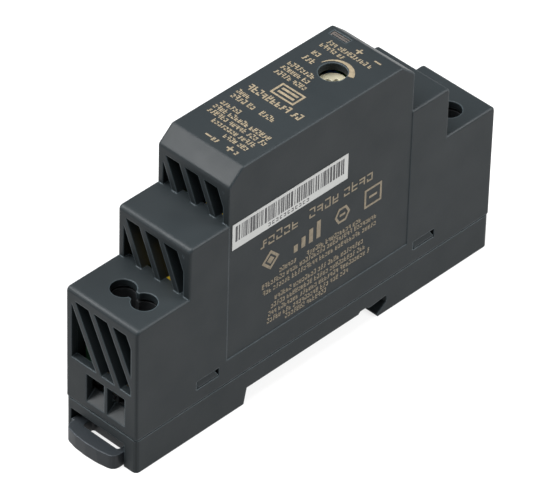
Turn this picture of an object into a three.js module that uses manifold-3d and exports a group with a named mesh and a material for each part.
// Slim DIN rail power supply: stepped louvred cover, rail base with a sprung latch, four rising-clamp
// terminals, trimmer and indicator, and the circuit board with its components inside.
// Millimetres. X across the width, Y along the height on the rail, Z out from the rail.
// Inside this file Z = 0 is the underside of the feet; the whole part is lowered at the end so that
// the row's origin is the centre of the face the rail sits against.
import * as THREE from "three";
import { mergeVertices } from "three/addons/utils/BufferGeometryUtils.js";
import Module from "manifold-3d";

const wasm = await Module();
wasm.setup();

// Casing
const WIDTH = 17.5;
const LENGTH = 90;
const HEIGHT = 54.5;
const HALF_W = WIDTH / 2;
const HALF_L = LENGTH / 2;
const SIDE_WALL = 1.3;
const END_WALL = 1.5;
const CAVITY_X = HALF_W - SIDE_WALL;
const CAVITY_Y = HALF_L - END_WALL;
const GAP = 0.3;
const EDGE_ROUND = 0.5;
const CORNER_ROUND = 0.9;
const SLACK = 1;

// Stepped outline of the cover
const SEAM_Z = 7.55;
const LOW_STEP_Z = 32.3;
const MID_WALL_Y = 32.5;
const MID_STEP_Z = 43.26;
const NOSE_WALL_Y = 23.1;
const CHAMFER_Y = 3.3;
const CHAMFER_Z = 2.9;
const PANEL_HALF_Y = 22.9;
const PANEL_BOTTOM_Z = 12.9;
const PANEL_DEPTH = 0.12;

// Louvres
const SLAT_WIDTH = 1.3;
const SLAT_PITCH = 4.6;
const SLAT_DEPTH = 2.7;
const FIELD_LEFT = -7.35;
const FIELD_RIGHT = 7.25;

// Rail channel and feet, for a top-hat rail 35 wide with a flange 1 thick
const SEAT_Z = 3.43;
const LATCH_FOOT_TOP_Y = -17.64;
const LATCH_FOOT_LOW_Y = -18.38;
const HOOK_TIP_Y = 15.95;
const HOOK_ROOT_Y = 18.1;
const BASE_FLOOR_Z = 5;
const LATCH_CEILING_Z = 5.25;
const LATCH_FLOOR_Z = 6.6;
const FOOT_SKIN = 1.5;

// Latch slider
const LATCH_LEFT = -7.5;
const LATCH_RIGHT = 5.7;
const LATCH_TOP_Z = 3.07;
const LATCH_LEDGE_Z = 0.9;
const LATCH_INNER_Y = -19.4;
const LATCH_NOSE_Y = -15.9;
const LATCH_NOSE_RIGHT = 2.2;
const LATCH_RIB_LEFT = -5.9;
const LATCH_RIB_RIGHT = 4.7;
const LATCH_LUG_Y = -27;
const LATCH_TRAVEL = 3.5;
const SPRING_POST_Y = -39.4;
const SPRING_LOW_Z = 3.5;
const SPRING_TOP_Z = 4.9;

// Terminals
const TERMINAL_X = 1.1;
const TERMINAL_PITCH = 5.08;
const TERMINAL_Y = 38.3;
const ENTRY_WIDTH = 4.38;
const ENTRY_BOTTOM_Z = 9.2;
const ENTRY_TOP_Z = 15.5;
const SCREW_HOLE_R = 2.4;
const SCREW_NECK = 1.9;
const SCREW_R = 1.5;
const SCREW_HEAD_R = 1.95;
const SCREW_TIP_Z = 16.1;
const SCREW_HEAD_LOW_Z = 22;
const SCREW_HEAD_TOP_Z = 24.2;
const BAR_LOW_Z = 14.8;
const BAR_TOP_Z = 15.8;
const CAGE_HALF_X = 2.1;
const CAGE_HALF_Y = 2.3;
const CAGE_LOW_Z = 9.3;
const CAGE_NUT_LOW_Z = 16.3;
const CAGE_NUT_TOP_Z = 17.7;
const BODY_LEFT = -4.6;
const BODY_RIGHT = 6.8;
const BODY_OUTER_Y = 41.9;
const BODY_INNER_Y = 34.9;
const BODY_LOW_Z = 6.9;
const BODY_TOP_Z = 30.3;
const TAIL_Y = 34.1;
const TAIL_SIZE = 1;

// Circuit board and what it carries
const BOARD_LEFT = -6.9;
const BOARD_RIGHT = -5.3;
const BOARD_LOW_Z = 13.4;
const BOARD_TOP_Z = 49;
const COMPONENT_X = -5.1;

// Trimmer, indicator and label
const TRIMMER_X = 0.97;
const TRIMMER_Y = 10.1;
const TRIMMER_HOLE_R = 2.65;
const ROTOR_R = 2.9;
const ROTOR_LOW_Z = 49.6;
const ROTOR_TOP_Z = 52.2;
const PIPE_LEFT = -7.2;
const PIPE_RIGHT = -3.1;
const PIPE_LOW_Y = 17.6;
const PIPE_HIGH_Y = 19;
const PIPE_GAP = 0.15;
const LABEL_LOW_Y = -22.15;
const LABEL_HIGH_Y = 6.5;
const LABEL_LOW_Z = 37.3;
const LABEL_HIGH_Z = 42.9;

// Snap windows along each side
const SNAPS = [[-30.1, -25], [24.8, 29.9]];
const SNAP_LOW_Z = 10.85;
const SNAP_TOP_Z = 12.2;

const AXIS_X = new THREE.Vector3(1, 0, 0);
const AXIS_Y = new THREE.Vector3(0, 1, 0);
const AXIS_Z = new THREE.Vector3(0, 0, 1);
const ROUND_STEPS = 3;
const FINE_CIRCLE = 32;
const COARSE_CIRCLE = 20;

// ---------- solids ----------

// A manifold solid from a three.js geometry, with shared corners and no collapsed triangles.
function solidOf(geometry) {
  const bare = geometry.clone();
  bare.deleteAttribute("normal");
  bare.deleteAttribute("uv");
  const merged = mergeVertices(bare, 1e-5);
  const index = merged.index.array;
  const kept = [];
  for (let i = 0; i < index.length; i += 3) {
    const [a, b, c] = [index[i], index[i + 1], index[i + 2]];
    if (a !== b && b !== c && a !== c) {
      kept.push(a, b, c);
    }
  }
  const mesh = new wasm.Mesh({
    numProp: 3,
    vertProperties: new Float32Array(merged.attributes.position.array),
    triVerts: new Uint32Array(kept),
  });
  return new wasm.Manifold(mesh);
}

function geometryOf(solid) {
  const mesh = solid.getMesh();
  const geometry = new THREE.BufferGeometry();
  geometry.setAttribute("position", new THREE.BufferAttribute(mesh.vertProperties, 3));
  geometry.setIndex(new THREE.BufferAttribute(mesh.triVerts, 1));
  const flat = geometry.toNonIndexed();
  flat.computeVertexNormals();
  return flat;
}

function union(solids) {
  return solids.reduce((sum, solid) => sum.add(solid));
}

function without(solid, cuts) {
  return cuts.reduce((rest, cut) => rest.subtract(cut), solid);
}

function box(x0, x1, y0, y1, z0, z1) {
  const geometry = new THREE.BoxGeometry(x1 - x0, y1 - y0, z1 - z0);
  geometry.translate((x0 + x1) / 2, (y0 + y1) / 2, (z0 + z1) / 2);
  return solidOf(geometry);
}

function rodZ(x, y, r, z0, z1, sides = COARSE_CIRCLE) {
  const geometry = new THREE.CylinderGeometry(r, r, z1 - z0, sides);
  geometry.rotateX(Math.PI / 2);
  geometry.translate(x, y, (z0 + z1) / 2);
  return solidOf(geometry);
}

function rodX(y, z, r, x0, x1, sides = COARSE_CIRCLE) {
  const geometry = new THREE.CylinderGeometry(r, r, x1 - x0, sides);
  geometry.rotateZ(-Math.PI / 2);
  geometry.translate((x0 + x1) / 2, y, z);
  return solidOf(geometry);
}

// A lathed body whose axis runs along +X from x0; the profile is [radius, distance] pairs.
function turnedX(profile, y, z, x0) {
  const points = profile.map(([r, along]) => new THREE.Vector2(r, along));
  const geometry = new THREE.LatheGeometry(points, FINE_CIRCLE);
  geometry.rotateZ(-Math.PI / 2);
  geometry.translate(x0, y, z);
  return solidOf(geometry);
}

function extruded(outline, depth, bevel) {
  const shape = new THREE.Shape(outline.map(([a, b]) => new THREE.Vector2(a, b)));
  const options = { depth, bevelEnabled: false };
  if (bevel > 0) {
    options.depth = depth - 2 * bevel;
    options.bevelEnabled = true;
    options.bevelSize = bevel;
    options.bevelThickness = bevel;
    options.bevelOffset = -bevel;
    options.bevelSegments = ROUND_STEPS;
  }
  const geometry = new THREE.ExtrudeGeometry(shape, options);
  geometry.translate(0, 0, bevel);
  return geometry;
}

// Outline in (y, z), extruded along X.
function prismX(outline, x0, x1, bevel = 0) {
  const geometry = extruded(outline, x1 - x0, bevel);
  geometry.applyMatrix4(new THREE.Matrix4().makeBasis(AXIS_Y, AXIS_Z, AXIS_X));
  geometry.translate(x0, 0, 0);
  return solidOf(geometry);
}

// Outline in (x, z), extruded along Y.
function prismY(outline, y0, y1) {
  const geometry = extruded(outline, y1 - y0, 0);
  geometry.applyMatrix4(new THREE.Matrix4().makeBasis(AXIS_X, AXIS_Z, AXIS_Y.clone().negate()));
  geometry.translate(0, y1, 0);
  return solidOf(geometry);
}

// Outline in (x, y), extruded along Z.
function prismZ(outline, z0, z1) {
  const geometry = extruded(outline, z1 - z0, 0);
  geometry.translate(0, 0, z0);
  return solidOf(geometry);
}

// Replaces each corner [a, b, radius] of a closed outline by an arc of that radius.
function rounded(corners) {
  const result = [];
  corners.forEach(([a, b, radius = 0], i) => {
    if (radius === 0) {
      result.push([a, b]);
      return;
    }
    const here = new THREE.Vector2(a, b);
    const before = new THREE.Vector2(...corners.at(i - 1).slice(0, 2)).sub(here).normalize();
    const after = new THREE.Vector2(...corners[(i + 1) % corners.length].slice(0, 2)).sub(here).normalize();
    const half = Math.acos(before.dot(after)) / 2;
    const reach = radius / Math.tan(half);
    const middle = before.clone().add(after).normalize().multiplyScalar(radius / Math.sin(half)).add(here);
    const start = before.multiplyScalar(reach).add(here).sub(middle);
    const end = after.multiplyScalar(reach).add(here).sub(middle);
    const turn = Math.atan2(start.cross(end), start.dot(end));
    for (let k = 0; k <= ROUND_STEPS; k += 1) {
      const spoke = start.clone().rotateAround(new THREE.Vector2(), turn * k / ROUND_STEPS);
      result.push([middle.x + spoke.x, middle.y + spoke.y]);
    }
  });
  return result;
}

function roundedRectangle(x0, x1, y0, y1, r) {
  return rounded([[x0, y0, r], [x1, y0, r], [x1, y1, r], [x0, y1, r]]);
}

// The same solid seen from the other end of the casing.
function otherEnd(solid) {
  return solid.mirror([0, 1, 0]);
}

// ---------- casing ----------

function steppedOutline(wall, round, bottom) {
  const bevel = wall * Math.tan(Math.PI / 8);
  const half = [
    [HALF_L - wall, bottom, 0],
    [HALF_L - wall, LOW_STEP_Z - wall, round],
    [MID_WALL_Y - wall, LOW_STEP_Z - wall, 0],
    [MID_WALL_Y - wall, MID_STEP_Z - wall, round],
    [NOSE_WALL_Y - wall, MID_STEP_Z - wall, 0],
    [NOSE_WALL_Y - wall, HEIGHT - CHAMFER_Z - bevel, round],
    [NOSE_WALL_Y - CHAMFER_Y - bevel, HEIGHT - wall, round],
  ];
  const mirrored = half.map(([y, z, r]) => [-y, z, r]).reverse();
  return rounded([...half, ...mirrored]);
}

// One field of leaning slats in the wall whose outer face is at y = -face: the hole and the slats.
function louvres(face, zLow, zTop, lean, topCentre) {
  const hole = box(FIELD_LEFT, FIELD_RIGHT, -face - SLACK, -face + END_WALL + SLACK, zLow, zTop);
  const bounds = box(FIELD_LEFT - 0.05, FIELD_RIGHT + 0.05, -face, -face + SLAT_DEPTH,
    zLow - 0.05, zTop + 0.05);
  const drift = lean * (zTop - zLow);
  const slats = [];
  for (let k = -1; k < 4; k += 1) {
    const top = topCentre + k * SLAT_PITCH;
    const outline = [
      [top + drift - SLAT_WIDTH / 2, zLow],
      [top + drift + SLAT_WIDTH / 2, zLow],
      [top + SLAT_WIDTH / 2, zTop],
      [top - SLAT_WIDTH / 2, zTop],
    ];
    if (top + drift + SLAT_WIDTH / 2 > FIELD_LEFT && top - SLAT_WIDTH / 2 < FIELD_RIGHT) {
      slats.push(prismY(outline, -face, -face + SLAT_DEPTH));
    }
  }
  return { hole, slats: union(slats).intersect(bounds) };
}

function terminalCentres() {
  return [TERMINAL_X - TERMINAL_PITCH / 2, TERMINAL_X + TERMINAL_PITCH / 2];
}

// Keyhole-pair opening over the two screws of one end.
function screwAccess(z0, z1) {
  const holes = terminalCentres().map((x) => rodZ(x, -TERMINAL_Y, SCREW_HOLE_R, z0, z1, FINE_CIRCLE));
  const neck = box(TERMINAL_X - SCREW_NECK, TERMINAL_X + SCREW_NECK,
    -TERMINAL_Y - SCREW_NECK / 2, -TERMINAL_Y + SCREW_NECK / 2, z0, z1);
  return union([...holes, neck]);
}

// Wire entry through the end wall, with a ramp up its floor.
function wireEntries() {
  const ramp = [
    [-HALF_L - SLACK, ENTRY_BOTTOM_Z - SLACK * 0.8],
    [-CAVITY_Y + SLACK, ENTRY_BOTTOM_Z + (END_WALL + SLACK) * 0.8],
    [-CAVITY_Y + SLACK, ENTRY_TOP_Z],
    [-HALF_L - SLACK, ENTRY_TOP_Z],
  ];
  return terminalCentres().map((x) => prismX(ramp, x - ENTRY_WIDTH / 2, x + ENTRY_WIDTH / 2));
}

function frontCover() {
  const below = box(-WIDTH, WIDTH, -LENGTH, LENGTH, -SLACK, SEAM_Z + GAP / 2);
  const outer = prismX(steppedOutline(0, CORNER_ROUND, 0), -HALF_W, HALF_W, EDGE_ROUND);
  const inner = prismX(steppedOutline(END_WALL, 0, 0), -CAVITY_X, CAVITY_X);
  const fields = [
    louvres(HALF_L, 17.2, 30.2, 0.5, -2.5),
    louvres(MID_WALL_Y, LOW_STEP_Z, 41.4, 0.435, -2.9),
    louvres(NOSE_WALL_Y, MID_STEP_Z, 50.1, 0.435, -2.8),
  ];
  const rampBlock = box(TERMINAL_X - 5.6, TERMINAL_X + 5.6, -CAVITY_Y - 0.05, -CAVITY_Y + 0.8,
    SEAM_Z + GAP / 2, 11);
  const cuts = [];
  const additions = [];
  for (const turn of [(solid) => solid, otherEnd]) {
    fields.forEach((field) => {
      cuts.push(turn(field.hole));
      additions.push(turn(field.slats));
    });
    cuts.push(turn(screwAccess(LOW_STEP_Z - END_WALL - SLACK, LOW_STEP_Z + SLACK)));
  }
  const windows = [];
  for (const [y0, y1] of SNAPS) {
    for (const side of [-1, 1]) {
      const xs = [side * (CAVITY_X - SLACK), side * (HALF_W + SLACK)].sort((a, b) => a - b);
      windows.push(box(xs[0], xs[1], y0 - 0.2, y1 + 0.2, SNAP_LOW_Z - GAP, SNAP_TOP_Z + 0.2));
    }
  }
  const panels = [-1, 1].map((side) => {
    const xs = [side * (HALF_W - PANEL_DEPTH), side * (HALF_W + SLACK)].sort((a, b) => a - b);
    return box(xs[0], xs[1], -PANEL_HALF_Y, PANEL_HALF_Y, PANEL_BOTTOM_Z, HEIGHT + SLACK);
  });
  const underRoof = HEIGHT - END_WALL - SLACK;
  const trimmerHole = rodZ(TRIMMER_X, TRIMMER_Y, TRIMMER_HOLE_R, underRoof, HEIGHT + SLACK, FINE_CIRCLE);
  const pipeHole = box(PIPE_LEFT, PIPE_RIGHT, PIPE_LOW_Y, PIPE_HIGH_Y, underRoof, HEIGHT + SLACK);
  const shell = without(outer.subtract(inner), [...cuts, ...panels, ...windows, trimmerHole, pipeHole]);
  const walls = union([shell, ...additions, rampBlock, otherEnd(rampBlock)]);
  const entries = wireEntries();
  return without(walls, [...entries, ...entries.map(otherEnd), below]);
}

function baseOutline() {
  return [
    [-HALF_L, 0],
    [LATCH_FOOT_LOW_Y, 0],
    [LATCH_FOOT_TOP_Y, SEAT_Z],
    [10.8, SEAT_Z],
    [11.3, 3.9],
    [12.9, 3.9],
    [13.5, SEAT_Z],
    [14.6, SEAT_Z],
    [HOOK_ROOT_Y - 0.2, 3.8],
    [HOOK_ROOT_Y, 3.4],
    [HOOK_ROOT_Y, 2.25],
    [HOOK_TIP_Y - 0.25, 0.5],
    [HOOK_TIP_Y, 0],
    [HALF_L, 0],
    [HALF_L, SEAM_Z - GAP / 2],
    [-HALF_L, SEAM_Z - GAP / 2],
  ];
}

// Upright tongue with a ramped nub that fills one snap window of the cover, one end cut back at a slant.
function snapTongue(side, y0, y1) {
  const back = CAVITY_X - GAP;
  const slant = [
    [y1 + SLACK, SNAP_LOW_Z + 0.25],
    [y1 + SLACK, SNAP_TOP_Z + SLACK],
    [y1 - 1.2, SNAP_TOP_Z + SLACK],
    [y1 - 0.1, SNAP_LOW_Z + 0.25],
  ];
  const outline = [
    [back - 1.1, BASE_FLOOR_Z - SLACK],
    [back, BASE_FLOOR_Z - SLACK],
    [back, SNAP_LOW_Z],
    [HALF_W, SNAP_LOW_Z],
    [HALF_W, SNAP_LOW_Z + 0.3],
    [HALF_W - 0.4, SNAP_TOP_Z],
    [back, SNAP_TOP_Z],
    [back - 1.1, SNAP_TOP_Z + 0.4],
  ];
  const xs = [side * (back + 0.2), side * (HALF_W + SLACK)].sort((a, b) => a - b);
  return prismY(outline.map(([x, z]) => [side * x, z]), y0, y1).subtract(prismX(slant, xs[0], xs[1]));
}

function rearBase() {
  const top = SEAM_Z + SLACK;
  const footprint = prismZ(roundedRectangle(-HALF_W, HALF_W, -HALF_L, HALF_L, CORNER_ROUND), -SLACK, top);
  const block = prismX(baseOutline(), -HALF_W, HALF_W).intersect(footprint);
  const railStart = LATCH_FOOT_TOP_Y - FOOT_SKIN;
  const railEnd = HOOK_ROOT_Y + FOOT_SKIN;
  const tray = without(block, [
    box(-CAVITY_X, CAVITY_X, -CAVITY_Y, railStart, LATCH_FLOOR_Z, top),
    box(-CAVITY_X, CAVITY_X, railStart - SLACK, railEnd + SLACK, BASE_FLOOR_Z + 0.3, top),
    box(-CAVITY_X, CAVITY_X, railEnd, CAVITY_Y, FOOT_SKIN, top),
  ]);
  const noseSweep = LATCH_INNER_Y - 1.2 - LATCH_TRAVEL - GAP;
  const channel = [
    box(LATCH_LEFT, LATCH_RIGHT, -HALF_L - SLACK, -43.5, -SLACK, LATCH_CEILING_Z),
    box(LATCH_LEFT, LATCH_RIGHT, -HALF_L + SLACK, LATCH_INNER_Y, LATCH_LEDGE_Z, LATCH_CEILING_Z),
    box(LATCH_RIB_LEFT, LATCH_RIB_RIGHT, -HALF_L + SLACK, LATCH_INNER_Y, -SLACK, LATCH_CEILING_Z - SLACK),
    box(LATCH_LEFT, LATCH_NOSE_RIGHT + GAP, noseSweep, -17, -SLACK, SEAT_Z - 0.15),
  ];
  const post = box(-3.2, 2.4, SPRING_POST_Y - 1.6, SPRING_POST_Y, LATCH_TOP_Z + GAP, LATCH_CEILING_Z + 0.5);
  const boardPosts = [-20.5, 20.5].map((y) =>
    box(-7.2, -4.7, y - 1, y + 1, BASE_FLOOR_Z - SLACK, BOARD_LOW_Z - GAP));
  const shelves = [-3.4, 4.2].map((x) =>
    box(x, x + 1.4, 35.5, 41.3, FOOT_SKIN - 0.2, BODY_LOW_Z - GAP));
  const tongues = SNAPS.flatMap(([y0, y1]) => [-1, 1].map((side) => snapTongue(side, y0, y1)));
  const feet = SNAPS.map(([y0, y1]) => y1 > 0
    ? [-1, 1].map((side) => {
      const xs = [side * (CAVITY_X - GAP - 1.1), side * (CAVITY_X + 0.2)].sort((a, b) => a - b);
      return box(xs[0], xs[1], y0, y1, FOOT_SKIN - 0.2, BASE_FLOOR_Z);
    })
    : []).flat();
  return union([without(tray, channel), post, ...boardPosts, ...shelves, ...feet, ...tongues]);
}

// ---------- latch ----------

function railLatch() {
  const left = LATCH_LEFT + GAP;
  const right = LATCH_RIGHT - GAP;
  const tab = rounded([
    [left + 0.6, -45.2, 0],
    [left + 0.6, -47.1, 1.4],
    [left + 3.6, -47.75, 4],
    [-0.9, -47.9, 6],
    [right - 3.6, -47.75, 4],
    [right, -47.1, 1.6],
    [right, -44.2, 0],
    [right, -43.9, 0],
    [left, -43.9, 0],
    [left, -45.2, 0],
  ]);
  const nose = [
    [LATCH_INNER_Y - 1.2, LATCH_LEDGE_Z + GAP],
    [LATCH_INNER_Y + 1, 0.45],
    [LATCH_NOSE_Y - 1, 0.45],
    [LATCH_NOSE_Y, 1.35],
    [LATCH_NOSE_Y, 2.25],
    [-17.9, 2.25],
    [-18.2, LATCH_TOP_Z],
    [LATCH_INNER_Y - 1.2, LATCH_TOP_Z],
  ];
  const body = union([
    prismZ(tab, 0, LATCH_TOP_Z),
    box(left, right, -44.2, LATCH_INNER_Y - GAP, LATCH_LEDGE_Z + GAP, LATCH_TOP_Z),
    box(LATCH_RIB_LEFT + GAP, LATCH_RIB_RIGHT - GAP, -44.2, -21.2, 0.35, LATCH_TOP_Z),
    prismX(nose, left, LATCH_NOSE_RIGHT),
    box(-4, 3, LATCH_LUG_Y, LATCH_LUG_Y + 1.6, LATCH_TOP_Z - 0.2, SPRING_TOP_Z + 0.1),
  ]);
  const toolSlot = prismZ(roundedRectangle(-4.55, 4.3, -45.05, -42.4, 0.5), -SLACK, LATCH_TOP_Z + SLACK);
  const window = box(-4.6, 2.8, -38, -29.5, -SLACK, LATCH_TOP_Z + SLACK);
  return without(body, [toolSlot, window]);
}

// Flat zigzag leaf between the base's post and the latch's lug.
function latchSpring() {
  const start = SPRING_POST_Y + 0.15;
  const end = LATCH_LUG_Y - 0.15;
  const turns = 7;
  const halfLeaf = 0.28;
  const centre = [];
  for (let k = 0; k <= turns; k += 1) {
    const y = start + halfLeaf + (end - start - 2 * halfLeaf) * k / turns;
    centre.push([k % 2 === 0 ? -3.6 : 2.8, y]);
  }
  const leaves = [];
  for (let k = 0; k < turns; k += 1) {
    const [x0, y0] = centre[k];
    const [x1, y1] = centre[k + 1];
    const low = Math.min(x0, x1);
    const high = Math.max(x0, x1);
    const [yLow, yHigh] = x0 < x1 ? [y0, y1] : [y1, y0];
    const outline = [
      [low, yLow - halfLeaf],
      [high, yHigh - halfLeaf],
      [high, yHigh + halfLeaf],
      [low, yLow + halfLeaf],
    ];
    leaves.push(prismZ(outline, SPRING_LOW_Z, SPRING_TOP_Z));
  }
  const rounds = centre.map(([x, y]) => rodZ(x, y, halfLeaf, SPRING_LOW_Z, SPRING_TOP_Z, 12));
  return union([...leaves, ...rounds]);
}

// ---------- terminals ----------

function terminalBody() {
  const block = box(BODY_LEFT, BODY_RIGHT, -BODY_OUTER_Y, -BODY_INNER_Y, BODY_LOW_Z, BODY_TOP_Z);
  const cuts = [screwAccess(SCREW_HEAD_LOW_Z - GAP, BODY_TOP_Z + SLACK)];
  terminalCentres().forEach((x, i) => {
    const half = CAGE_HALF_X + 0.2;
    const tailZ = i * 2.8;
    const ceiling = SCREW_HEAD_LOW_Z - 1;
    const barSlot = BAR_LOW_Z - GAP;
    const face = -BODY_INNER_Y;
    cuts.push(box(x - half, x + half, -TERMINAL_Y - 2.7, -TERMINAL_Y + 2.7, CAGE_LOW_Z - 0.4, ceiling));
    cuts.push(box(x - half, x + half, -BODY_OUTER_Y - SLACK, -TERMINAL_Y, 10.2, ENTRY_TOP_Z));
    cuts.push(rodZ(x, -TERMINAL_Y, SCREW_R + 0.25, BAR_TOP_Z, SCREW_HEAD_LOW_Z));
    cuts.push(box(x - 1.8, x + 1.8, -TERMINAL_Y, face + SLACK, barSlot, BAR_TOP_Z + GAP));
    cuts.push(box(x - 0.8, x + 0.8, face - 0.05, face + SLACK, barSlot, BAR_TOP_Z + tailZ));
  });
  return without(block, cuts);
}

function terminalScrew(x) {
  const shank = rodZ(x, -TERMINAL_Y, SCREW_R, SCREW_TIP_Z, SCREW_HEAD_LOW_Z + 0.1, FINE_CIRCLE);
  const head = rodZ(x, -TERMINAL_Y, SCREW_HEAD_R, SCREW_HEAD_LOW_Z, SCREW_HEAD_TOP_Z, FINE_CIRCLE);
  const slotZ = SCREW_HEAD_TOP_Z - 1.1;
  const over = SCREW_HEAD_TOP_Z + SLACK;
  const slot = box(x - 3, x + 3, -TERMINAL_Y - 0.35, -TERMINAL_Y + 0.35, slotZ, over);
  const crossSlot = box(x - 0.35, x + 0.35, -TERMINAL_Y - 1.35, -TERMINAL_Y + 1.35, slotZ, over);
  return without(shank.add(head), [slot, crossSlot]);
}

function clampCage(x) {
  const ring = box(x - CAGE_HALF_X, x + CAGE_HALF_X, -TERMINAL_Y - CAGE_HALF_Y, -TERMINAL_Y + CAGE_HALF_Y,
    CAGE_LOW_Z, CAGE_NUT_TOP_Z);
  const mouth = box(x - CAGE_HALF_X + 0.5, x + CAGE_HALF_X - 0.5, -TERMINAL_Y - 5, -TERMINAL_Y + 5,
    CAGE_LOW_Z + 0.8, CAGE_NUT_LOW_Z);
  const boreR = SCREW_R + 0.06;
  const thread = rodZ(x, -TERMINAL_Y, boreR, CAGE_NUT_LOW_Z - SLACK, CAGE_NUT_TOP_Z + SLACK, FINE_CIRCLE);
  return without(ring, [mouth, thread]);
}

// The fixed bar a wire is clamped against, bent to a tail that passes through the board.
function contactBar(x, level) {
  const lift = level * 2.8;
  const bar = box(x - 1.2, x + 1.2, -TERMINAL_Y - 2.2, -TAIL_Y + TAIL_SIZE / 2, BAR_LOW_Z, BAR_TOP_Z);
  const y0 = -TAIL_Y - TAIL_SIZE / 2;
  const y1 = -TAIL_Y + TAIL_SIZE / 2;
  const riser = box(x - 0.5, x + 0.5, y0, y1, BAR_LOW_Z, BAR_TOP_Z + lift);
  const tail = box(BOARD_LEFT - 0.3, x + 0.5, y0, y1, BAR_LOW_Z + lift, BAR_TOP_Z + lift);
  return union([bar, riser, tail]);
}

// ---------- circuit board and components ----------

function circuitBoard() {
  const inset = SLAT_DEPTH + GAP;
  const half = [
    [HALF_L - inset, BOARD_LOW_Z],
    [HALF_L - inset, LOW_STEP_Z - END_WALL - 0.6],
    [MID_WALL_Y - inset, LOW_STEP_Z - END_WALL - 0.6],
    [MID_WALL_Y - inset, MID_STEP_Z - END_WALL - 0.6],
    [NOSE_WALL_Y - inset, MID_STEP_Z - END_WALL - 0.6],
    [NOSE_WALL_Y - inset, BOARD_TOP_Z],
  ];
  const outline = [...half, ...half.map(([y, z]) => [-y, z]).reverse()];
  const plate = prismX(outline, BOARD_LEFT, BOARD_RIGHT);
  const slots = [];
  for (const end of [-1, 1]) {
    for (const level of [0, 1]) {
      const y = end * TAIL_Y;
      const z = BAR_LOW_Z + level * 2.8;
      slots.push(box(BOARD_LEFT - SLACK, BOARD_RIGHT + SLACK, y - 0.8, y + 0.8, z - 0.3, z + 1.3));
    }
  }
  return without(plate, slots);
}

const TRANSFORMER = { x: 1, y: -22.6, coreHalfY: 3.4, low: 23, top: 40.8, halfX: 5.9 };

function transformerCore(upper) {
  const { x, y, coreHalfY, low, top, halfX } = TRANSFORMER;
  const middle = (low + top) / 2;
  const [plate0, plate1] = upper ? [top - 1.9, top] : [low, low + 1.9];
  const [leg0, leg1] = upper ? [middle + 0.15, top] : [low, middle - 0.15];
  return union([
    box(x - halfX, x + halfX, y - coreHalfY, y + coreHalfY, plate0, plate1),
    box(x - halfX, x - halfX + 1.7, y - coreHalfY, y + coreHalfY, leg0, leg1),
    box(x + halfX - 1.7, x + halfX, y - coreHalfY, y + coreHalfY, leg0, leg1),
    box(x - 1.7, x + 1.7, y - coreHalfY, y + coreHalfY, leg0, leg1),
  ]);
}

function transformerWinding() {
  const { x, y, coreHalfY, low, top, halfX } = TRANSFORMER;
  const reach = halfX - 2;
  const outer = prismZ(roundedRectangle(x - reach, x + reach, y - 6.9, y + 6.9, 1.8), low + 2.2, top - 2.2);
  const core = box(x - 2, x + 2, y - coreHalfY - GAP, y + coreHalfY + GAP, low, top);
  return outer.subtract(core);
}

function canCapacitor(y, z, r, length) {
  const profile = [
    [0, 0], [r - 0.2, 0], [r, 0.2], [r, 1.1], [r - 0.3, 1.4], [r, 1.7],
    [r, length - 0.3], [r - 0.3, length], [0, length],
  ];
  return turnedX(profile, y, z, COMPONENT_X);
}

const CHOKE = { y: 25.2, z: 22.6, r: 4.6, waist: 2.4, length: 9.5 };

function chokeCore() {
  const { y, z, r, waist, length } = CHOKE;
  const profile = [
    [0, 0], [r, 0], [r, 1.6], [waist, 1.6],
    [waist, length - 1.4], [r, length - 1.4], [r, length], [0, length],
  ];
  return turnedX(profile, y, z, COMPONENT_X);
}

function chokeWinding() {
  const { y, z, r, waist, length } = CHOKE;
  const outer = rodX(y, z, r - 0.5, COMPONENT_X + 1.8, COMPONENT_X + length - 1.6, FINE_CIRCLE);
  return outer.subtract(rodX(y, z, waist + 0.2, COMPONENT_X, COMPONENT_X + length, FINE_CIRCLE));
}

// A moulded package flat on the board, with straight leads out of two opposite sides.
function flatPackage(y, z, sizeY, sizeZ, height, leadsPerSide, leadWidth, leadReach) {
  const pieces = [box(COMPONENT_X + 0.25, COMPONENT_X + height,
    y - sizeY / 2, y + sizeY / 2, z - sizeZ / 2, z + sizeZ / 2)];
  const pitch = sizeY / leadsPerSide;
  for (let k = 0; k < leadsPerSide; k += 1) {
    const centre = y - sizeY / 2 + pitch * (k + 0.5);
    pieces.push(box(COMPONENT_X, COMPONENT_X + 0.5, centre - leadWidth / 2, centre + leadWidth / 2,
      z - sizeZ / 2 - leadReach, z + sizeZ / 2 + leadReach));
  }
  return union(pieces);
}

function discCapacitor(y, z) {
  const disc = new THREE.CylinderGeometry(3.6, 3.6, 2.6, COARSE_CIRCLE);
  disc.translate(2.6, y, z);
  const legs = [-1.8, 1.8].map((dz) =>
    box(COMPONENT_X, 0.2, y - 0.3, y + 0.3, z + dz - 0.3, z + dz + 0.3));
  return union([solidOf(disc), ...legs]);
}

function trimmerBody() {
  const half = 3.5;
  const block = box(TRIMMER_X - half, TRIMMER_X + half, TRIMMER_Y - half, TRIMMER_Y + half, 46, 51.5);
  const well = rodZ(TRIMMER_X, TRIMMER_Y, ROTOR_R + 0.08, ROTOR_LOW_Z - GAP, HEIGHT, FINE_CIRCLE);
  const legs = [-2, 0, 2].map((dy) => {
    const y = TRIMMER_Y + dy;
    return box(COMPONENT_X, TRIMMER_X - half + 0.1, y - 0.3, y + 0.3, 46.6, 47.2);
  });
  return union([block.subtract(well), ...legs]);
}

function trimmerRotor() {
  const disc = rodZ(TRIMMER_X, TRIMMER_Y, ROTOR_R, ROTOR_LOW_Z, ROTOR_TOP_Z, FINE_CIRCLE);
  const slots = [[1.4, 0.3], [0.3, 1.4]].map(([hx, hy]) => box(TRIMMER_X - hx, TRIMMER_X + hx,
    TRIMMER_Y - hy, TRIMMER_Y + hy, ROTOR_TOP_Z - 1, ROTOR_TOP_Z + SLACK));
  return without(disc, slots);
}

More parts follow.
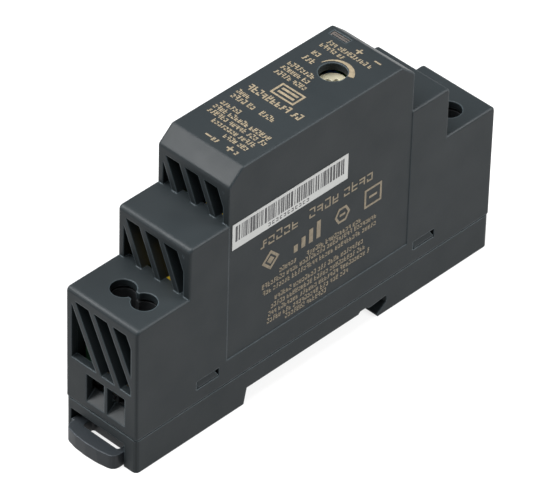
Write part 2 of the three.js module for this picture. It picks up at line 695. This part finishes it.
function lightPipe() {
  const head = box(PIPE_LEFT + PIPE_GAP, PIPE_RIGHT - PIPE_GAP, PIPE_LOW_Y + PIPE_GAP, PIPE_HIGH_Y - PIPE_GAP,
    HEIGHT - 4, HEIGHT - 0.05);
  const shoeTop = HEIGHT - END_WALL - GAP - 0.4;
  const shoe = box(-6.8, -2.6, PIPE_LOW_Y - 0.5, PIPE_HIGH_Y + 0.5, BOARD_TOP_Z + GAP, shoeTop);
  return head.add(shoe);
}

function indicatorLed() {
  const base = box(COMPONENT_X, -2.9, 17.3, 19.3, 46.2, 47.6);
  return base.add(rodZ(-4, 18.3, 0.85, 47.4, 48.8));
}

function barcodeLabel() {
  const face = HALF_W - PANEL_DEPTH;
  return box(face + 0.02, face + 0.1, LABEL_LOW_Y, LABEL_HIGH_Y, LABEL_LOW_Z, LABEL_HIGH_Z);
}

// ---------- assembly ----------

const LOOKS = {
  casing: { color: 0x45484b, roughness: 0.55, metalness: 0 },
  latch: { color: 0x3e434a, roughness: 0.5, metalness: 0 },
  terminal: { color: 0x26282a, roughness: 0.6, metalness: 0 },
  steel: { color: 0xb4b6b8, roughness: 0.35, metalness: 1 },
  brass: { color: 0xc7a65a, roughness: 0.35, metalness: 1 },
  board: { color: 0x2c5a38, roughness: 0.6, metalness: 0 },
  ferrite: { color: 0x3a3a3c, roughness: 0.7, metalness: 0 },
  tape: { color: 0xd8b32a, roughness: 0.45, metalness: 0 },
  sleeve: { color: 0x1d2430, roughness: 0.35, metalness: 0 },
  copper: { color: 0xb0632c, roughness: 0.35, metalness: 1 },
  package: { color: 0x1c1c1e, roughness: 0.5, metalness: 0 },
  ceramic: { color: 0x3a6a9e, roughness: 0.4, metalness: 0 },
  cream: { color: 0xc8c3a5, roughness: 0.5, metalness: 0 },
  blue: { color: 0x2c5f9a, roughness: 0.45, metalness: 0 },
  smoke: { color: 0x6d6253, roughness: 0.25, metalness: 0 },
  lamp: { color: 0x7fbf6a, roughness: 0.25, metalness: 0 },
  paper: { color: 0xe6e6e2, roughness: 0.7, metalness: 0 },
};

const part = new THREE.Group();
part.name = "din_rail_power_supply";
part.position.z = -SEAT_Z;

function addPiece(parent, name, look, solid) {
  const mesh = new THREE.Mesh(geometryOf(solid), new THREE.MeshStandardMaterial(LOOKS[look]));
  mesh.name = name;
  parent.add(mesh);
}

function group(name) {
  const child = new THREE.Group();
  child.name = name;
  part.add(child);
  return child;
}

const casing = group("casing");
addPiece(casing, "front_cover", "casing", frontCover());
addPiece(casing, "rear_base", "casing", rearBase());
addPiece(casing, "light_pipe", "smoke", lightPipe());
addPiece(casing, "barcode_label", "paper", barcodeLabel());

const latch = group("latch");
addPiece(latch, "rail_latch", "latch", railLatch());
addPiece(latch, "latch_spring", "steel", latchSpring());

for (const [end, turn, first] of [["input", (solid) => solid, 1], ["output", otherEnd, 3]]) {
  const terminals = group(`${end}_terminals`);
  addPiece(terminals, `${end}_terminal_body`, "terminal", turn(terminalBody()));
  terminalCentres().forEach((x, i) => {
    const number = first + i;
    addPiece(terminals, `terminal_screw_${number}`, "steel", turn(terminalScrew(x)));
    addPiece(terminals, `clamp_cage_${number}`, "brass", turn(clampCage(x)));
    addPiece(terminals, `contact_bar_${number}`, "copper", turn(contactBar(x, i)));
  });
}

const electronics = group("electronics");
addPiece(electronics, "circuit_board", "board", circuitBoard());
addPiece(electronics, "transformer_core_upper", "ferrite", transformerCore(true));
addPiece(electronics, "transformer_core_lower", "ferrite", transformerCore(false));
addPiece(electronics, "transformer_winding", "tape", transformerWinding());
addPiece(electronics, "input_capacitor_1", "sleeve", canCapacitor(-16, 44.8, 4, 11.5));
addPiece(electronics, "input_capacitor_2", "sleeve", canCapacitor(-7.4, 44.8, 4, 11.5));
addPiece(electronics, "output_capacitor_1", "sleeve", canCapacitor(14.2, 35.4, 4, 11.5));
addPiece(electronics, "output_capacitor_2", "sleeve", canCapacitor(23.4, 35.4, 4, 11.5));
addPiece(electronics, "output_choke_core", "ferrite", chokeCore());
addPiece(electronics, "output_choke_winding", "copper", chokeWinding());
addPiece(electronics, "switching_transistor", "package", flatPackage(-8.6, 24.4, 6.6, 6.1, 2.4, 3, 0.8, 1.2));
addPiece(electronics, "rectifier_diode", "package", flatPackage(13.6, 22.6, 6.6, 6.1, 2.4, 2, 1.4, 1.2));
addPiece(electronics, "controller_chip", "package", flatPackage(3.4, 36.4, 5, 4, 1.7, 4, 0.45, 1));
addPiece(electronics, "optocoupler", "package", flatPackage(2.6, 25, 4.6, 6.5, 3.6, 2, 0.6, 1));
addPiece(electronics, "input_fuse", "ceramic", flatPackage(-26.5, 17.6, 8, 3.4, 3.6, 2, 2.2, 0.7));
addPiece(electronics, "ceramic_capacitor", "blue", discCapacitor(-7.6, 34));
addPiece(electronics, "indicator_led", "lamp", indicatorLed());

const trimmer = group("trimmer");
addPiece(trimmer, "trimmer_body", "blue", trimmerBody());
addPiece(trimmer, "trimmer_rotor", "cream", trimmerRotor());

export default part;
